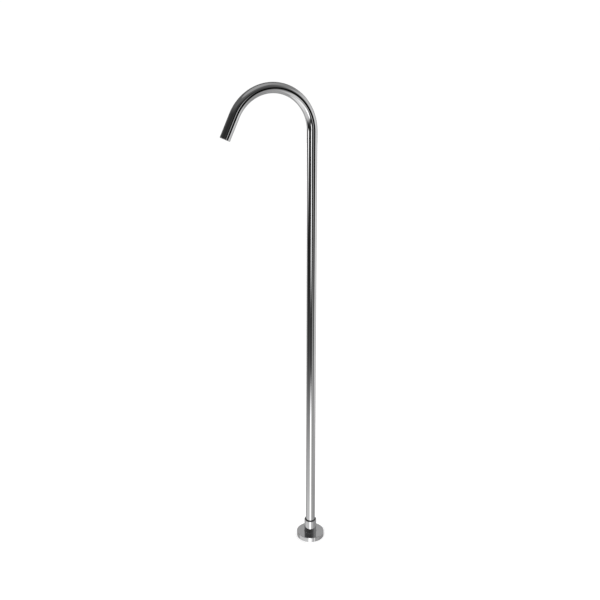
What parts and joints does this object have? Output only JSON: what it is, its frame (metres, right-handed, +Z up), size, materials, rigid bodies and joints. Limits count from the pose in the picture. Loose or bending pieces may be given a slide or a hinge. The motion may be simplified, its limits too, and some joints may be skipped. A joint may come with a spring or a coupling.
{
  "type": "floor-standing basin spout",
  "caption": "Floor-standing basin spout: a tall bent chrome tube that swivels in a collar on a round floor flange, with an aerator at its end and a threaded inlet below.",
  "frame": {"origin": "centre of the inlet's mouth at floor level, on the axis of the riser", "axes": "+Z up along the riser, -X along the spout's reach, so the arch lies in the XZ plane"},
  "size_m": [0.2713, 0.075, 1.2399],
  "materials": {
    "chrome_tube": "polished",
    "chrome_collar": "polished",
    "chrome_flange": "polished",
    "brass": "satin",
    "plate_steel": "satin",
    "screw_steel": "satin",
    "mesh_steel": "satin",
    "rubber": "matte",
    "dark_plastic": "satin",
    "pale_plastic": "satin"
  },
  "bodies": {
    "base": {"floor_gasket": "rubber", "base_plate": "plate_steel", "base_body": "brass", "plate_screws": "screw_steel", "collar": "chrome_collar", "collar_screw": "screw_steel", "guide_bush": "dark_plastic", "glide_ring": "pale_plastic", "retaining_screw": "screw_steel", "inlet_washer": "rubber", "inlet_filter": "mesh_steel"},
    "cover": {"cover_flange": "chrome_flange", "cover_o_ring": "rubber"},
    "spout": {"spout_tube": "chrome_tube", "swivel_stem": "brass", "stem_o_ring_lower": "rubber", "stem_o_ring_upper": "rubber", "outlet_bush": "brass", "aerator_seal": "rubber", "flow_regulator": "pale_plastic", "aerator_screen": "mesh_steel", "jet_diffuser": "pale_plastic", "aerator_housing": "pale_plastic"}
  },
  "joints": [
    {"name": "spout_swivel", "type": "hinge", "parent": "base", "child": "spout", "pos_m": [0, 0, 0.034], "axis": [0, 0, 1], "continuous": true},
    {"name": "cover_lift", "type": "slide", "parent": "base", "child": "cover", "axis": [0, 0, 1], "range_m": [0, 0.15]}
  ]
}
